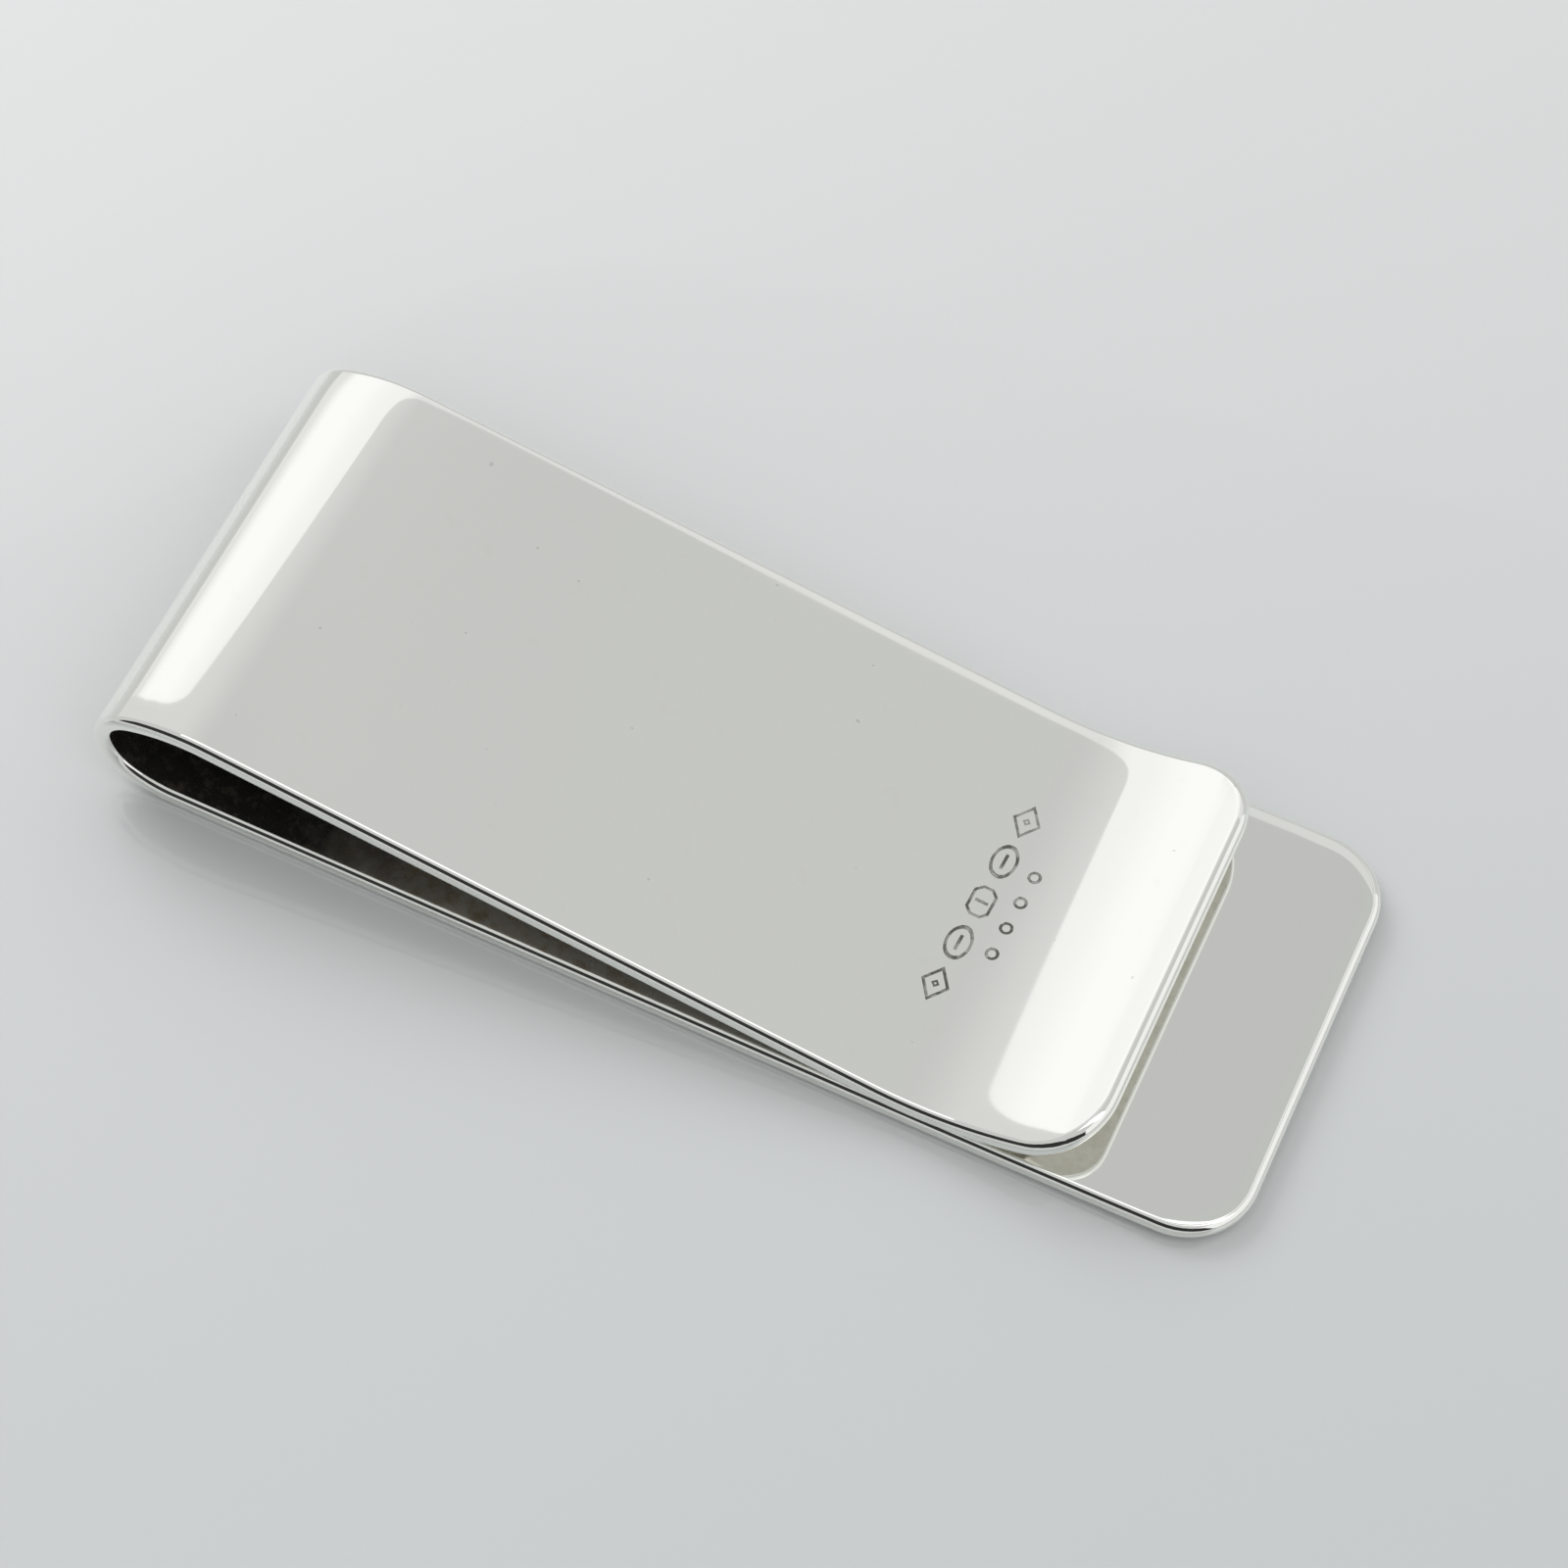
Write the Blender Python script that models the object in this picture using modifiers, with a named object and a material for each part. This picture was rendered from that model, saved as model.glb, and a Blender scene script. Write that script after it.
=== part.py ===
"""A spring money clip: one strip of sterling silver, folded into a long flat loop.

The strip runs from the tongue along the lower leaf, round the rolled bend, back
down the upper leaf and up again at the lip. It is one piece of metal. Here it is
cut into the zones that do different jobs, so that the leaf that springs open can
turn about the nose of the bend.

Frame: +X along the clip towards the tongue, +Y across the strip, +Z up. The
origin is under the middle of the clip, on the surface that it rests on.
"""

import math

import bmesh
import bpy

MM = 0.001

# Driving dimensions
CLIP_LENGTH = 57.2 * MM
STRIP_WIDTH = 22.2 * MM
SHEET = 0.9 * MM
EDGE_RADIUS = 0.4 * MM
CORNER_RADIUS = 3.5 * MM

# The outer face of the strip in side view, from the tongue to the lip
TONGUE_SWEEP_LENGTH = 17.0 * MM
TONGUE_SWEEP_RADIUS = 424.0 * MM
FOOT_SETBACK = 4.1 * MM
FOOT_RADIUS = 5.3 * MM
FOOT_TURN = math.radians(27.2)
NOSE_RADIUS = 3.05 * MM
SHOULDER_RADIUS = 8.07 * MM
SHOULDER_TURN = math.radians(30.9)
LEAF_SLOPE = math.radians(7.6)
LEAF_END = 39.4 * MM
LIP_RADIUS = 14.5 * MM
LIP_TURN = math.radians(37.4)
LIP_TIP = 1.4 * MM

# Where the strip is divided
LEAF_CUT_SETBACK = 6.2 * MM
SPLIT_GAP = 0.3 * MM

# Fineness of the faceted solids
TURN_PER_FACET = math.radians(4.5)
STRAIGHT_FACET = 6.0 * MM
CORNER_FACETS = 8
EDGE_FACETS = 3

SILVER_COLOUR = (0.93, 0.93, 0.91, 1.0)
SILVER_ROUGHNESS = 0.08

# The hinge that stands for the flexing bend, on the sheet's middle at the nose
NOSE_X = -CLIP_LENGTH / 2
HINGE_X = NOSE_X + SHEET / 2
HINGE_Z = FOOT_RADIUS + (NOSE_RADIUS - FOOT_RADIUS) * math.cos(FOOT_TURN)


class FacePath:
    """The outer face in side view, grown stretch by stretch as (x, z, heading)."""

    def __init__(self, x, z, heading):
        self.stations = [(0.0, x, z, heading)]

    def _step(self, length, turn):
        run, x, z, heading = self.stations[-1]
        middle = heading + turn / 2
        chord = length
        if turn:
            chord = length * math.sin(turn / 2) / (turn / 2)
        x += chord * math.cos(middle)
        z += chord * math.sin(middle)
        self.stations.append((run + length, x, z, heading + turn))

    def straight(self, length):
        count = max(1, round(length / STRAIGHT_FACET))
        for _ in range(count):
            self._step(length / count, 0.0)
        return self.length()

    def arc(self, radius, turn):
        """A left turn is positive, and a right turn negative."""
        length = radius * abs(turn)
        by_angle = math.ceil(abs(turn) / TURN_PER_FACET)
        count = max(1, by_angle, round(length / STRAIGHT_FACET))
        for _ in range(count):
            self._step(length / count, turn / count)
        return self.length()

    def length(self):
        return self.stations[-1][0]

    def at(self, run):
        """The point and heading at a distance along the path."""
        for first, second in zip(self.stations, self.stations[1:]):
            if run <= second[0] or second is self.stations[-1]:
                share = (run - first[0]) / (second[0] - first[0])
                return tuple(a + (b - a) * share for a, b in zip(first[1:], second[1:]))
        return self.stations[-1][1:]

    def between(self, start, end, end_cell_first=0.0, end_cell_last=0.0):
        """The points from start to end, with no station inside either end cell."""
        clear_from = start + max(end_cell_first, SPLIT_GAP)
        clear_to = end - max(end_cell_last, SPLIT_GAP)
        runs = [start]
        if end_cell_first:
            runs.append(start + end_cell_first)
        runs += [s[0] for s in self.stations if clear_from < s[0] < clear_to]
        if end_cell_last:
            runs.append(end - end_cell_last)
        runs.append(end)
        return [self.at(run)[:2] for run in runs]


def clip_face():
    """The whole outer face, and the runs at which its zones meet."""
    sweep_angle = TONGUE_SWEEP_LENGTH / TONGUE_SWEEP_RADIUS
    tip_x = NOSE_X + CLIP_LENGTH
    tip_z = TONGUE_SWEEP_RADIUS * (1 - math.cos(sweep_angle))
    path = FacePath(tip_x, tip_z, math.pi + sweep_angle)
    path.arc(TONGUE_SWEEP_RADIUS, -sweep_angle)
    foot_x = NOSE_X + FOOT_SETBACK
    flat_end = path.straight(path.stations[-1][1] - foot_x)
    leaf_cut = flat_end - (LEAF_CUT_SETBACK - FOOT_SETBACK)
    foot_end = path.arc(FOOT_RADIUS, -FOOT_TURN)
    nose_turn = math.pi + LEAF_SLOPE - FOOT_TURN - SHOULDER_TURN
    path.arc(NOSE_RADIUS, -nose_turn)
    nose_cut = foot_end + NOSE_RADIUS * (math.pi / 2 - FOOT_TURN)
    bend_end = path.arc(SHOULDER_RADIUS, -SHOULDER_TURN)
    leaf_run = NOSE_X + LEAF_END - path.stations[-1][1]
    leaf_end = path.straight(leaf_run / math.cos(LEAF_SLOPE))
    path.arc(LIP_RADIUS, LIP_TURN)
    path.straight(LIP_TIP)
    return path, leaf_cut, nose_cut, bend_end, leaf_end


def silver():
    material = bpy.data.materials.new("polished_silver")
    material.use_nodes = True
    shader = material.node_tree.nodes["Principled BSDF"]
    shader.inputs["Base Color"].default_value = SILVER_COLOUR
    shader.inputs["Metallic"].default_value = 1.0
    shader.inputs["Roughness"].default_value = SILVER_ROUGHNESS
    return material


def extrude_across(points, origin):
    """A ribbon across the strip's width, facing out, with the points as its near edge."""
    bm = bmesh.new()
    half = STRIP_WIDTH / 2
    near = [bm.verts.new((x - origin[0], -half, z - origin[1])) for x, z in points]
    for first, second in zip(near, near[1:]):
        bm.edges.new((first, second))
    swept = bmesh.ops.extrude_edge_only(bm, edges=bm.edges[:])
    far = [item for item in swept["geom"] if isinstance(item, bmesh.types.BMVert)]
    bmesh.ops.translate(bm, verts=far, vec=(0.0, STRIP_WIDTH, 0.0))
    # The outer face looks to the left of the path.
    bm.faces.ensure_lookup_table()
    bm.normal_update()
    ahead = near[1].co - near[0].co
    normal = bm.faces[0].normal
    if normal.z * ahead.x - normal.x * ahead.z < 0:
        bmesh.ops.reverse_faces(bm, faces=bm.faces[:])
    return bm


def at_end(point, end):
    return math.hypot(point.x - end[0], point.z - end[1]) < SPLIT_GAP / 2


def zone(name, points, material, collection, free_end=None, origin=(0.0, 0.0)):
    """One stretch of the strip: its outer face, given the sheet's thickness.

    free_end is 0 or -1 where the strip really ends, and its corners are rounded
    there. The edges at a cut between two zones stay square.
    """
    bm = extrude_across(points, origin)
    ends = [(points[i][0] - origin[0], points[i][1] - origin[1]) for i in (0, -1)]
    cuts = [end for i, end in zip((0, -1), ends) if i != free_end]
    if free_end is not None:
        corners = [v for v in bm.verts if at_end(v.co, ends[free_end])]
        bmesh.ops.bevel(
            bm, geom=corners, offset=CORNER_RADIUS, offset_type="OFFSET",
            segments=CORNER_FACETS, profile=0.5, affect="VERTICES",
        )
    weight = bm.edges.layers.float.new("bevel_weight_edge")
    for edge in bm.edges:
        middle = (edge.verts[0].co + edge.verts[1].co) / 2
        if edge.is_boundary and any(at_end(middle, cut) for cut in cuts):
            edge.smooth = False
        elif edge.is_boundary:
            edge[weight] = 1.0
    for face in bm.faces:
        face.smooth = True

    mesh = bpy.data.meshes.new(name)
    bm.to_mesh(mesh)
    bm.free()
    mesh.materials.append(material)
    obj = bpy.data.objects.new(name, mesh)
    obj.location = (origin[0], 0.0, origin[1])
    collection.objects.link(obj)

    thicken = obj.modifiers.new("sheet", "SOLIDIFY")
    thicken.thickness = SHEET
    thicken.offset = -1.0
    thicken.use_even_offset = True
    ease = obj.modifiers.new("eased_edges", "BEVEL")
    ease.limit_method = "WEIGHT"
    ease.width = EDGE_RADIUS
    ease.segments = EDGE_FACETS
    ease.harden_normals = True


def main():
    for obj in list(bpy.data.objects):
        bpy.data.objects.remove(obj, do_unlink=True)
    collection = bpy.data.collections.new("money_clip")
    bpy.context.scene.collection.children.link(collection)

    path, leaf_cut, nose_cut, bend_end, leaf_end = clip_face()
    half_gap = SPLIT_GAP / 2
    end_cell = CORNER_RADIUS + SPLIT_GAP
    material = silver()

    lower_leaf = path.between(0.0, leaf_cut - half_gap, end_cell_first=end_cell)
    lower_bend = path.between(leaf_cut + half_gap, nose_cut - half_gap)
    upper_bend = path.between(nose_cut + half_gap, bend_end - half_gap)
    upper_leaf = path.between(bend_end + half_gap, leaf_end - half_gap)
    lip = path.between(leaf_end + half_gap, path.length(), end_cell_last=end_cell)

    hinge = (HINGE_X, HINGE_Z)
    zone("lower_leaf", lower_leaf, material, collection, free_end=0)
    zone("lower_bend", lower_bend, material, collection)
    zone("upper_bend", upper_bend, material, collection, origin=hinge)
    zone("upper_leaf", upper_leaf, material, collection, origin=hinge)
    zone("lip", lip, material, collection, free_end=-1, origin=hinge)


main()
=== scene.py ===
import math

import bpy
from mathutils import Matrix, Vector


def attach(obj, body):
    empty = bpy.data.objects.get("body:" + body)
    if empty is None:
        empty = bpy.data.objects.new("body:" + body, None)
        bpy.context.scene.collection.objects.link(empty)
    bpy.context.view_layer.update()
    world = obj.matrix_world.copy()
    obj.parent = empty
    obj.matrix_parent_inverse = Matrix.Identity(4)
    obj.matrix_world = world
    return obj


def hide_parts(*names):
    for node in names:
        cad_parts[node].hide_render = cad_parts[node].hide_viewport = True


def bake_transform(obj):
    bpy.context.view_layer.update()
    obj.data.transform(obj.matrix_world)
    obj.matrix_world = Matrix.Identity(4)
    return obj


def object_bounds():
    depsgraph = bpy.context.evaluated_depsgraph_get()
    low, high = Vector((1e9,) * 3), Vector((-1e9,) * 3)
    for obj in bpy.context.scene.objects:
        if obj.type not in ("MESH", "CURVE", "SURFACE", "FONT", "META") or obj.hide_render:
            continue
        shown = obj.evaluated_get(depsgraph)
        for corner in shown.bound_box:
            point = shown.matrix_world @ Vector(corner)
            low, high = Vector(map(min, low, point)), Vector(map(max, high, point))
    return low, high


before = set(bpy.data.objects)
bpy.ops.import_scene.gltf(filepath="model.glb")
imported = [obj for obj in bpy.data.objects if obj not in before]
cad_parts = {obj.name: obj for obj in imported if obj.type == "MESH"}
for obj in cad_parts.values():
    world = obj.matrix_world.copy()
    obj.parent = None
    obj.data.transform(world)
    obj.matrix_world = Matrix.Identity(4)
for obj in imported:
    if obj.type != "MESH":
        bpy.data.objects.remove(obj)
CAD_LOW, CAD_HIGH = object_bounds()

MM = 0.001

# The strip that the clip is folded from
WIDTH = CAD_HIGH.y - CAD_LOW.y
SHEET = 0.9 * MM
EDGE_ROUND = 0.43 * MM
EDGE_FACES = 8
CORNER = 3.5 * MM
CORNER_FACES = 14

# Side view, all radii to the outer face
LENGTH = 57.2 * MM
TONGUE_TIP_X = CAD_HIGH.x
NOSE_X = TONGUE_TIP_X - LENGTH
TONGUE_SWEEP = 17.0 * MM
TONGUE_RADIUS = 424.0 * MM
SEAM_X = NOSE_X + 7.2 * MM
FOOT_X = NOSE_X + 4.1 * MM
FOOT_RADIUS = 5.3 * MM
FOOT_TURN = math.radians(27.2)
NOSE_RADIUS = 3.05 * MM
SHOULDER_RADIUS = 8.07 * MM
SHOULDER_TURN = math.radians(30.9)
LEAF_SLOPE = math.radians(7.98)
LEAF_END_X = NOSE_X + 39.4 * MM
LIP_RADIUS = 14.5 * MM
LIP_TURN = math.radians(37.4)
LIP_TIP = 1.4 * MM

# Buffing lowers the faces near the long edges and round the end of the tongue
BUFFED_EDGE = 2.6 * MM
BUFFED_TIP = 0.9 * MM

# The rows of punched marks, in millimetres so that their outlines are easy to read
MARKS_X = NOSE_X + 40.3 * MM
MARKS_ASKEW = 0.05
SECOND_ROW = 1.6
STROKE = 0.042
STROKE_EDGE = 0.04


def deselect_everything():
    for obj in list(bpy.context.selected_objects):
        obj.select_set(False)


def only(obj):
    deselect_everything()
    obj.select_set(True)
    bpy.context.view_layer.objects.active = obj


def pick(obj, edges=None, faces=None):
    """Selects edges or faces of the active piece by a test on each one, and stays in edit mode."""
    bpy.ops.object.mode_set(mode="EDIT")
    bpy.ops.mesh.select_all(action="DESELECT")
    bpy.ops.mesh.select_mode(type="EDGE" if edges else "FACE")
    bpy.ops.object.mode_set(mode="OBJECT")
    mesh = obj.data
    if edges:
        for edge in mesh.edges:
            edge.select = edges([mesh.vertices[i].co for i in edge.vertices])
    if faces:
        for face in mesh.polygons:
            face.select = faces(face)
    bpy.ops.object.mode_set(mode="EDIT")


def apply_modifier(obj, kind, **settings):
    modifier = obj.modifiers.new(kind.lower(), kind)
    for name, value in settings.items():
        setattr(modifier, name, value)
    bpy.ops.object.modifier_apply(modifier=modifier.name)


class SidePath:
    """The outer face seen from the side, bent up stretch by stretch from the tongue."""

    def __init__(self, x, z, heading):
        self.x, self.z, self.heading = x, z, heading
        self.points = [(x, z)]
        self.run = 0.0
        self.bend_lines = []

    def step(self, chord, turn):
        middle = self.heading + turn / 2
        self.x += chord * math.cos(middle)
        self.z += chord * math.sin(middle)
        self.heading += turn
        self.run += chord
        self.points.append((self.x, self.z))

    def straight(self, length):
        self.step(length, 0.0)

    def curl(self, radius, turn, lines):
        """Turns round a former, in equal bends between bend lines. A right turn is positive."""
        angle = turn / lines / 2
        chord = 2 * radius * math.sin(abs(angle) / 2)
        self.bend_lines.append(self.run)
        for line in range(lines):
            self.step(chord, -angle)
            self.step(chord, -angle)
            self.bend_lines.append(self.run)


def side_path():
    sweep = TONGUE_SWEEP / TONGUE_RADIUS
    path = SidePath(TONGUE_TIP_X, TONGUE_RADIUS * (1 - math.cos(sweep)), math.pi + sweep)
    path.curl(TONGUE_RADIUS, sweep, 3)
    path.straight(path.x - SEAM_X)
    seam_run = path.run
    path.straight(path.x - FOOT_X)
    path.curl(FOOT_RADIUS, FOOT_TURN, 12)
    path.curl(NOSE_RADIUS, math.pi + LEAF_SLOPE - FOOT_TURN - SHOULDER_TURN, 48)
    path.curl(SHOULDER_RADIUS, SHOULDER_TURN, 14)
    path.straight((LEAF_END_X - path.x) / math.cos(LEAF_SLOPE))
    path.curl(LIP_RADIUS, -LIP_TURN, 18)
    path.straight(LIP_TIP)
    return path, seam_run


def former(path):
    """The curve that the flat blank is bent round."""
    curve = bpy.data.curves.new("former", "CURVE")
    curve.dimensions = "3D"
    curve.twist_mode = "MINIMUM"
    spline = curve.splines.new("POLY")
    spline.points.add(len(path.points) - 1)
    for point, (x, z) in zip(spline.points, path.points):
        point.co = (x, 0.0, z, 1.0)
    obj = bpy.data.objects.new("former", curve)
    bpy.context.scene.collection.objects.link(obj)
    return obj


def flat_blank(length):
    """The sheet before it is folded: cut to shape, corners filed and edges rolled over."""
    deselect_everything()
    bpy.ops.mesh.primitive_plane_add(size=1.0, location=(length / 2, 0.0, 0.0))
    blank = bpy.context.object
    bpy.ops.object.mode_set(mode="EDIT")
    bpy.ops.transform.resize(value=(length, WIDTH, 1.0))
    bpy.ops.mesh.bevel(
        offset=CORNER, segments=CORNER_FACES, profile=0.5, affect="VERTICES", clamp_overlap=False
    )
    bpy.ops.object.mode_set(mode="OBJECT")
    bpy.ops.object.transform_apply(location=True, rotation=True, scale=True)
    apply_modifier(blank, "SOLIDIFY", thickness=SHEET, offset=1.0)
    apply_modifier(
        blank, "BEVEL", width=EDGE_ROUND, segments=EDGE_FACES, limit_method="ANGLE",
        angle_limit=math.radians(60.0), use_clamp_overlap=False,
    )
    return blank


def fold_strip(outside, inside):
    """The whole clip as one closed strip of sheet."""
    path, seam_run = side_path()
    clip = flat_blank(path.run)
    clip.data.materials.append(outside)
    clip.data.materials.append(inside)
    only(clip)
    pick(clip, faces=lambda f: f.normal.z > 0.99)
    clip.active_material_index = 1
    bpy.ops.object.material_slot_assign()
    for run in path.bend_lines + [seam_run]:
        bpy.ops.mesh.select_all(action="SELECT")
        bpy.ops.mesh.bisect(plane_co=(run, 0.0, 0.0), plane_no=(1.0, 0.0, 0.0), threshold=1e-6)
    bpy.ops.mesh.select_all(action="SELECT")
    bpy.ops.mesh.normals_make_consistent(inside=False)
    bpy.ops.object.mode_set(mode="OBJECT")

    curve = former(path)
    apply_modifier(clip, "CURVE", object=curve, deform_axis="POS_X")
    bpy.data.objects.remove(curve)
    bpy.ops.object.shade_smooth()
    apply_modifier(clip, "WEIGHTED_NORMAL", mode="FACE_AREA", weight=50)
    return clip


def at_seam(points):
    """True for an edge that lies across the lower leaf at the seam."""
    return all(abs(p.x - SEAM_X) < 0.005 * MM and p.z < 1.5 * SHEET for p in points)


def close_seam(obj):
    """Closes the end of a piece where it meets the other one, with a sharp edge."""
    only(obj)
    pick(obj, edges=at_seam)
    bpy.ops.mesh.mark_sharp()
    bpy.ops.mesh.edge_face_add()
    bpy.ops.object.mode_set(mode="OBJECT")


def part_at_seam(strip):
    """Parts the strip on the lower leaf just behind the bend, where it starts to flex."""
    only(strip)
    pick(strip, edges=at_seam)
    bpy.ops.mesh.edge_split(type="EDGE")
    bpy.ops.mesh.select_all(action="SELECT")
    bpy.ops.mesh.separate(type="LOOSE")
    bpy.ops.object.mode_set(mode="OBJECT")
    pieces = sorted(bpy.context.selected_objects, key=lambda o: max(v.co.z for v in o.data.vertices))
    for piece in pieces:
        close_seam(piece)
    return pieces


class Value:
    """A number that varies over the metal. Sums on it add Math nodes."""

    def __init__(self, finish, socket):
        self.finish = finish
        self.socket = socket

    def maths(self, operation, *others):
        values = {0: self}
        values.update(enumerate(others, 1))
        return self.finish.node("ShaderNodeMath", {"operation": operation}, values)

    def reflected(self, operation, other):
        values = {0: other, 1: self}
        return self.finish.node("ShaderNodeMath", {"operation": operation}, values)

    def __add__(self, other):
        return self.maths("ADD", other)

    def __radd__(self, other):
        return self.reflected("ADD", other)

    def __sub__(self, other):
        return self.maths("SUBTRACT", other)

    def __rsub__(self, other):
        return self.reflected("SUBTRACT", other)

    def __mul__(self, other):
        return self.maths("MULTIPLY", other)

    def __rmul__(self, other):
        return self.reflected("MULTIPLY", other)

    def __truediv__(self, other):
        return self.maths("DIVIDE", other)

    def __pow__(self, other):
        return self.maths("POWER", other)

    def __abs__(self):
        return self.maths("ABSOLUTE")

    def at_least(self, other):
        return self.maths("MAXIMUM", other)

    def at_most(self, other):
        return self.maths("MINIMUM", other)

    def ramp(self, low, high):
        """Runs smoothly from 0 at low to 1 at high. A low above high runs the other way."""
        if low > high:
            return 1.0 - self.ramp(high, low)
        return self.finish.node(
            "ShaderNodeMapRange",
            {"interpolation_type": "SMOOTHSTEP"},
            {"Value": self, "From Min": low, "From Max": high},
            "Result",
        )


class Finish:
    """A material whose nodes are written as sums."""

    def __init__(self, name):
        self.material = bpy.data.materials.new(name)
        self.material.use_nodes = True
        self.tree = self.material.node_tree
        self.shader = self.tree.nodes["Principled BSDF"]
        coordinates = self.tree.nodes.new("ShaderNodeTexCoord")
        self.place = Value(self, coordinates.outputs["Object"])
        parts = self.tree.nodes.new("ShaderNodeSeparateXYZ")
        self.tree.links.new(self.place.socket, parts.inputs[0])
        self.x, self.y, self.z = (Value(self, output) for output in parts.outputs)

    def put(self, socket, value):
        if isinstance(value, Value):
            self.tree.links.new(value.socket, socket)
        else:
            socket.default_value = value

    def node(self, kind, settings=None, inputs=None, output=0):
        made = self.tree.nodes.new(kind)
        for name, setting in (settings or {}).items():
            setattr(made, name, setting)
        for key, value in (inputs or {}).items():
            self.put(made.inputs[key], value)
        return Value(self, made.outputs[output])

    def noise(self, scale, detail=3.0, roughness=0.5, stretch=(1, 1, 1), turn=0.0):
        """Soft noise from about 0 to 1. Scale is in patches per metre."""
        where = self.node(
            "ShaderNodeMapping",
            {"vector_type": "POINT"},
            {"Vector": self.place, "Scale": stretch, "Rotation": (0.0, 0.0, turn)},
        )
        return self.node(
            "ShaderNodeTexNoise",
            {"noise_dimensions": "3D"},
            {"Vector": where, "Scale": scale, "Detail": detail, "Roughness": roughness},
        )

    def blend(self, share, first, second):
        """A colour from first at 0 to second at 1."""
        return self.node(
            "ShaderNodeMix",
            {"data_type": "RGBA"},
            {0: share, 6: first, 7: second},
            2,
        )

    def bump(self, height, strength=1.0):
        """Height is in metres."""
        normal = self.node(
            "ShaderNodeBump", None, {"Height": height, "Strength": strength, "Distance": 1.0}
        )
        self.put(self.shader.inputs["Normal"], normal)

    def set(self, **sockets):
        for name, value in sockets.items():
            self.put(self.shader.inputs[name.replace("_", " ")], value)


SILVER = (0.955, 0.96, 0.925, 1.0)
# A darker copy of the silver for the faces inside the fold, as painted shade.
SILVER_INSIDE_PAINTED_SHADE = (0.875, 0.885, 0.85, 1.0)
SILVER_WORN = (0.91, 0.905, 0.86, 1.0)
TARNISH_BROWN = (0.17, 0.13, 0.075, 1.0)
# Near-black for deep in the fold: painted shade, with some tarnish.
SHADE_AND_TARNISH_BLACK = (0.022, 0.021, 0.019, 1.0)
STAMP_DARK = (0.10, 0.095, 0.085, 1.0)


def polished_silver():
    """The faces that are handled: a bright hand polish with hairlines, haze and a few specks."""
    metal = Finish("polished_silver")
    haze = metal.noise(180.0, detail=2.0)
    patches = metal.noise(900.0, detail=4.0)
    hairlines = metal.noise(420.0, detail=6.0, roughness=0.75, stretch=(1.0, 22.0, 1.0), turn=0.5)
    specks = metal.noise(1700.0, detail=1.0).ramp(0.79, 0.83)
    marks = punched_marks(metal)
    worn = metal.blend(patches.ramp(0.60, 0.78) * 0.35, SILVER, SILVER_WORN)
    metal.set(
        Base_Color=metal.blend((marks * 0.9).at_least(specks * 0.2), worn, STAMP_DARK),
        Metallic=1.0,
        Roughness=0.045 + 0.03 * haze.ramp(0.35, 0.7) + 0.02 * hairlines.ramp(0.5, 0.8),
    )
    metal.bump(
        waviness(metal) + hairlines * 1.5e-8 + shoulder_twist(metal) + buffed_edge(metal) - marks * 7e-5
    )
    return metal.material


def lozenge(side, end):
    """Strokes of a lozenge with a small square in it."""
    return [(side / 0.85 + end / 0.62 - 1.0) * 0.5, side + end - 0.14]


def oval(side, end):
    """Strokes of an oval with a bar in it."""
    return [
        (((side / 0.85) ** 2.0 + (end / 0.56) ** 2.0) ** 0.5 - 1.0) * 0.56,
        (side - 0.36).at_least(end - 0.01),
    ]


def octagon(side, end):
    """Strokes of an octagon with a bar in it."""
    return [
        (side - 0.78).at_least(end - 0.52).at_least((side + end) * 0.707 - 0.71),
        (end - 0.25).at_least(side - 0.01),
    ]


def ring(side, end):
    return [(side ** 2.0 + end ** 2.0) ** 0.5 - 0.26]


def punched_marks(metal):
    """Two rows of plain punched outlines across the upper leaf, 1 on a stroke."""
    across = metal.y / MM
    along = (metal.x - MARKS_X) / MM - across * MARKS_ASKEW
    cartouches = (lozenge, oval, octagon, oval, lozenge)
    punches = [(cartouche, 2.4 * (place - 2), 0.0) for place, cartouche in enumerate(cartouches)]
    punches += [(ring, 1.5 * (place - 1.5), SECOND_ROW) for place in range(4)]
    marks = None
    for punch, place, row in punches:
        for distance in punch(abs(across - place), abs(along - row)):
            stroke = abs(distance).ramp(STROKE + STROKE_EDGE, STROKE)
            marks = stroke.at_least(marks) if marks else stroke
    depth = (0.55 + 0.6 * metal.noise(1400.0, detail=2.0).ramp(0.35, 0.65)).at_most(1.0)
    on_upper_face = metal.z.ramp(1.45 * MM, 1.55 * MM)
    return marks * depth * on_upper_face


def waviness(metal):
    """The slow unevenness of a face that was polished by hand."""
    return metal.noise(60.0, detail=1.0) * 6e-6


def shoulder_twist(metal):
    """The fold isn't quite square to the strip, so its shoulder rises a little more on one side."""
    rise = metal.x.ramp(NOSE_X + 1.0 * MM, NOSE_X + 9.0 * MM)
    fall = metal.x.ramp(NOSE_X + 34.0 * MM, NOSE_X + 9.0 * MM)
    return rise * fall * metal.y * 0.017


def buffed_edge(metal):
    """The height that buffing takes off close to the long edges."""
    inward = WIDTH / 2 - abs(metal.y)
    return (BUFFED_EDGE - inward).at_least(0.0) ** 3.0 * -6400.0


def buffed_tip(metal):
    """The height that buffing takes off round the end of the tongue."""
    side = (abs(metal.y) - (WIDTH / 2 - CORNER)).at_least(0.0)
    end = (metal.x - (TONGUE_TIP_X - CORNER)).at_least(0.0)
    inward = CORNER - (side ** 2.0 + end ** 2.0) ** 0.5
    near_tip = metal.x.ramp(TONGUE_TIP_X - 1.5 * CORNER, TONGUE_TIP_X - 0.3 * CORNER)
    return (BUFFED_TIP - inward).at_least(0.0) ** 2.0 * near_tip * -200.0


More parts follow.
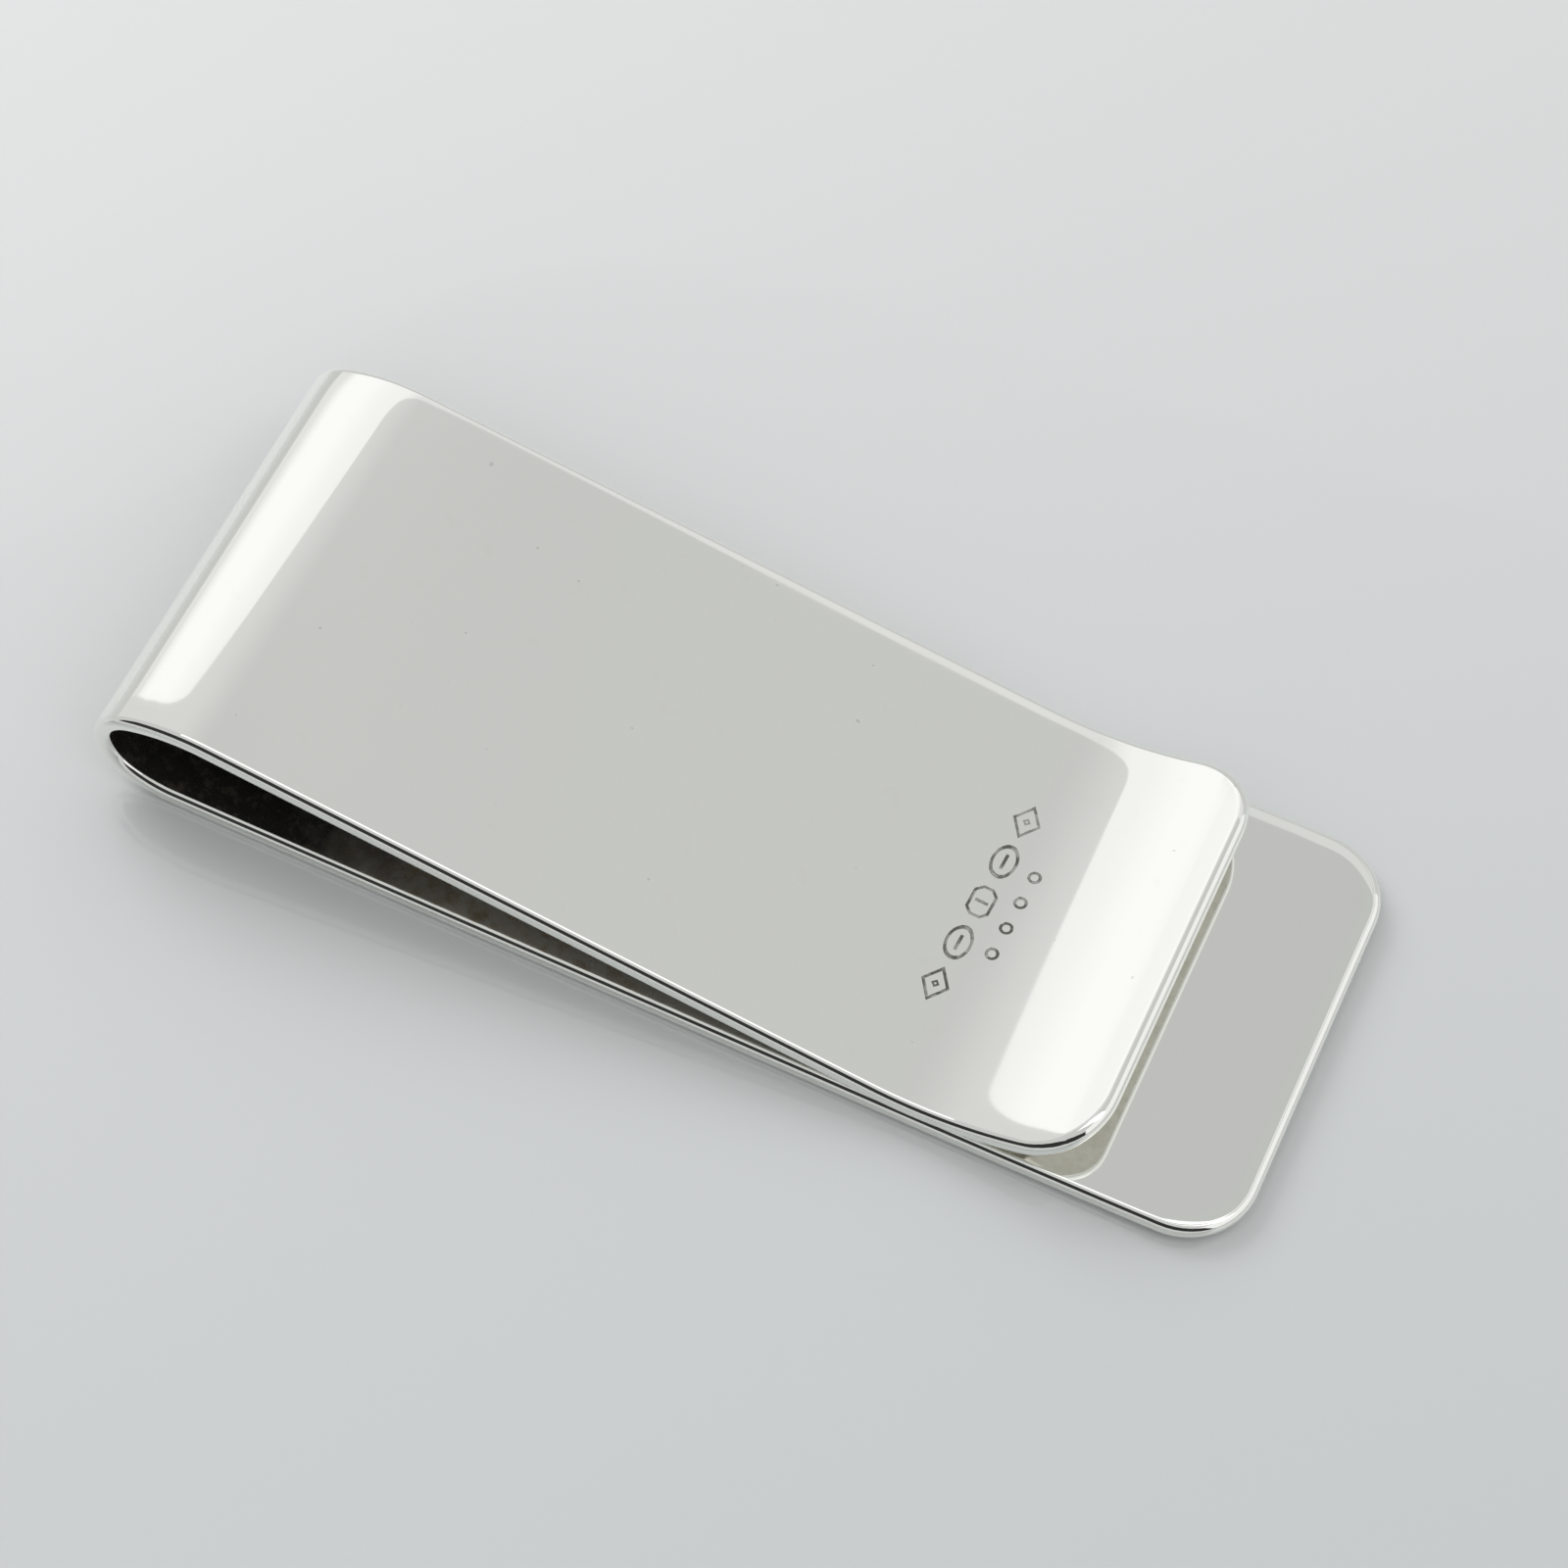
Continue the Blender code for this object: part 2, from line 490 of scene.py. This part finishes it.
def fold_silver():
    """The faces that look into the fold: brown tarnish where no cloth reaches, on a base darker than
    the outer silver as painted shade, and near-black deep in the fold, which is painted shade with some
    tarnish.
    """
    metal = Finish("fold_silver")
    smudge = metal.noise(330.0, detail=5.0, roughness=0.65)
    mottle = metal.noise(1500.0, detail=4.0, roughness=0.7)
    reach = metal.x + (smudge - 0.5) * 0.012
    thin_spots = mottle.ramp(0.5, 0.75)
    # Deep in the fold near the nose the colour runs to near-black: painted shade, with some tarnish.
    fold_shade_and_tarnish = reach.ramp(NOSE_X + 18.0 * MM, NOSE_X + 9.5 * MM) * (1.0 - 0.35 * thin_spots)
    brown = reach.ramp(NOSE_X + 50.0 * MM, NOSE_X + 22.0 * MM)
    film = brown * (0.45 + 0.5 * mottle.ramp(0.3, 0.7))
    under_lip = metal.x.ramp(LEAF_END_X - 2.0 * MM, LEAF_END_X + 3.0 * MM)
    above_tongue = metal.z.ramp(1.30 * MM, 1.45 * MM)
    lip_film = under_lip * above_tongue * (0.46 + 0.12 * mottle.ramp(0.35, 0.75))
    # The inside base is the darker silver, painted shade, under the brown tarnish.
    shaded_silver_and_tarnish = metal.blend(film, SILVER_INSIDE_PAINTED_SHADE, TARNISH_BROWN)
    shaded_silver_and_tarnish = metal.blend(lip_film, shaded_silver_and_tarnish, TARNISH_BROWN)
    metal.set(
        Base_Color=metal.blend(fold_shade_and_tarnish * 0.94, shaded_silver_and_tarnish, SHADE_AND_TARNISH_BLACK),
        Metallic=1.0 - 0.6 * film,
        Roughness=0.055 + 0.28 * film,
    )
    metal.bump(waviness(metal) + buffed_edge(metal) + buffed_tip(metal))
    return metal.material


# The floor's colour runs from the first of these to the second towards the window: painted light.
FLOOR_SHADED_SIDE = (0.62, 0.645, 0.65, 1.0)
FLOOR_LIT_SIDE = (0.75, 0.765, 0.77, 1.0)
BLACK = (0.0, 0.0, 0.0, 1.0)


def pale_floor():
    """A smooth pale board, with painted light: its colour is a little lighter towards the window."""
    floor = Finish("pale_floor")
    # Painted light: lighter towards the window, darker away from it.
    painted_light_towards_window = floor.y * 0.8 - floor.x * 0.6
    floor.set(
        Base_Color=floor.blend(painted_light_towards_window.ramp(-0.075, 0.075), FLOOR_SHADED_SIDE, FLOOR_LIT_SIDE),
        Roughness=0.30,
        Specular_IOR_Level=0.9,
        Coat_Weight=1.0,
        Coat_Roughness=0.03,
    )
    return floor.material


def card(name, corners, brightness, changes=()):
    """A flat light or flag for the metal to mirror, drawn by its corners in order.

    Each of the changes is a start and a stop along X, and by how much the card is
    brighter at the stop than at the start.
    """
    deselect_everything()
    bpy.ops.mesh.primitive_circle_add(vertices=len(corners), radius=0.1, fill_type="NGON")
    obj = bpy.context.object
    obj.name = name
    for vertex, corner in zip(obj.data.vertices, corners):
        vertex.co = corner
    glow = Finish(name)
    light = (brightness, brightness, brightness, 1.0)
    if changes:
        share = sum((glow.x.ramp(start, stop) * change for start, stop, change in changes), brightness)
        light = glow.blend(share / 2, BLACK, (2.0, 2.0, 2.0, 1.0))
    glow.set(
        Base_Color=BLACK, Specular_IOR_Level=0.0, Emission_Color=light, Emission_Strength=1.0
    )
    obj.data.materials.append(glow.material)
    return obj


ROOM_BRIGHTNESS = 0.585
CARD_HEIGHT = 0.36


def overhead(corners, height=CARD_HEIGHT):
    """Corners of a level card. They come as the slopes at which the clip sees them."""
    return [(x * CARD_HEIGHT, y * CARD_HEIGHT, height) for x, y in corners]


def window_cards():
    """The window that the bend and the lip mirror, and the softer light round it."""
    rounded_corner = [
        (-0.65, 0.475), (-0.58, 0.485), (-0.53, 0.505), (-0.50, 0.535), (-0.475, 0.575), (-0.46, 0.62),
    ]
    far_side = [(-0.445, 0.66), (-0.42, 0.71), (-0.37, 0.75), (-0.27, 0.78), (0.0, 0.80), (0.7, 0.83)]
    back = [(0.7, 1.9), (-4.5, 2.9), (-4.5, 1.84)]
    near_side = [(-2.0, 0.87), (-1.5, 0.675), (-1.0, 0.52), (-0.85, 0.485), (-0.75, 0.475)]
    h = CARD_HEIGHT
    card(
        "window_card", overhead(rounded_corner + far_side + back + near_side), 0.93,
        [(-0.45 * h, -0.15 * h, -0.17), (-0.5 * h, -1.1 * h, 0.08), (-1.65 * h, -2.4 * h, -0.22)],
    )
    around = [(0.0, 0.1), (0.0, 1.8), (-4.6, 3.0), (-4.6, 0.1)]
    card(
        "window_surround", overhead(around, height=1.01 * h), ROOM_BRIGHTNESS, [(0.0, -0.5 * h, 0.11)]
    )


def other_cards():
    above = [(-0.35, -0.22), (0.9, -0.22), (0.9, 0.08), (-0.35, 0.08)]
    card("overhead_card", overhead(above), 1.3)
    side = [(0.42, -0.3, 0.10), (0.42, 0.5, 0.10), (0.26, 0.5, 0.50), (0.26, -0.3, 0.50)]
    card("side_card", side, 0.90)
    flag = [(-0.7, -0.45, 0.10), (0.7, -0.45, 0.10), (0.7, -0.42, 0.50), (-0.7, -0.42, 0.50)]
    card("dark_flag", flag, 0.03).visible_diffuse = False


def room():
    """Even light from all round, and the floor that the clip lies on."""
    bpy.context.scene.view_settings.view_transform = "Standard"
    world = bpy.data.worlds.new("room")
    bpy.context.scene.world = world
    world.use_nodes = True
    background = world.node_tree.nodes["Background"]
    background.inputs["Color"].default_value = (1.0, 1.01, 0.99, 1.0)
    background.inputs["Strength"].default_value = ROOM_BRIGHTNESS

    deselect_everything()
    bpy.ops.mesh.primitive_plane_add(size=2.4, location=(0.0, 0.0, -0.02 * MM))
    floor = bpy.context.object
    floor.name = "floor"
    floor.data.materials.append(pale_floor())


def key_light():
    """A soft lamp at the upper left, which the metal doesn't mirror."""
    key = bpy.data.lights.new("key", "AREA")
    key.shape = "DISK"
    key.size = 0.34
    key.energy = 0.75
    lamp = bpy.data.objects.new("key", key)
    lamp.location = (-0.30, 0.14, 0.29)
    lamp.rotation_euler = (-lamp.location).to_track_quat("-Z", "Y").to_euler()
    lamp.visible_glossy = False
    lamp.visible_camera = False
    bpy.context.scene.collection.objects.link(lamp)


VIEW_TARGET = Vector((0.54 * MM, 2.66 * MM, 0.0))
VIEW_DISTANCE = 193.2 * MM
VIEW_AZIMUTH = math.radians(19.4)
VIEW_ELEVATION = math.radians(60.36)
VIEW_ROLL = math.radians(5.99)
LENS = 93.86
SENSOR = 36.0


def view():
    """The camera, high and to the right, looking down on the face with the marks."""
    back = Vector((
        math.cos(VIEW_ELEVATION) * math.sin(VIEW_AZIMUTH),
        -math.cos(VIEW_ELEVATION) * math.cos(VIEW_AZIMUTH),
        math.sin(VIEW_ELEVATION),
    ))
    level_right = (-back).cross(Vector((0.0, 0.0, 1.0))).normalized()
    level_up = back.cross(level_right)
    right = level_right * math.cos(VIEW_ROLL) + level_up * math.sin(VIEW_ROLL)
    up = level_up * math.cos(VIEW_ROLL) - level_right * math.sin(VIEW_ROLL)
    camera = bpy.data.cameras.new("camera")
    camera.lens = LENS
    camera.sensor_width = SENSOR
    camera.clip_start = 0.01
    stand = bpy.data.objects.new("camera", camera)
    bpy.context.scene.collection.objects.link(stand)
    axes = Matrix((right, up, back)).transposed().to_4x4()
    stand.matrix_world = Matrix.Translation(VIEW_TARGET + back * VIEW_DISTANCE) @ axes
    bpy.context.scene.camera = stand


outside, inside = polished_silver(), fold_silver()
lower_leaf, spring_leaf = part_at_seam(fold_strip(outside, inside))
lower_leaf.name = lower_leaf.data.name = "lower_leaf_and_tongue"
spring_leaf.name = spring_leaf.data.name = "bend_upper_leaf_and_lip"

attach(lower_leaf, "lower_half")
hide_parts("lower_leaf")

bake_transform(spring_leaf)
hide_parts("lower_bend", "upper_bend", "upper_leaf", "lip")

room()
window_cards()
other_cards()
key_light()
view()
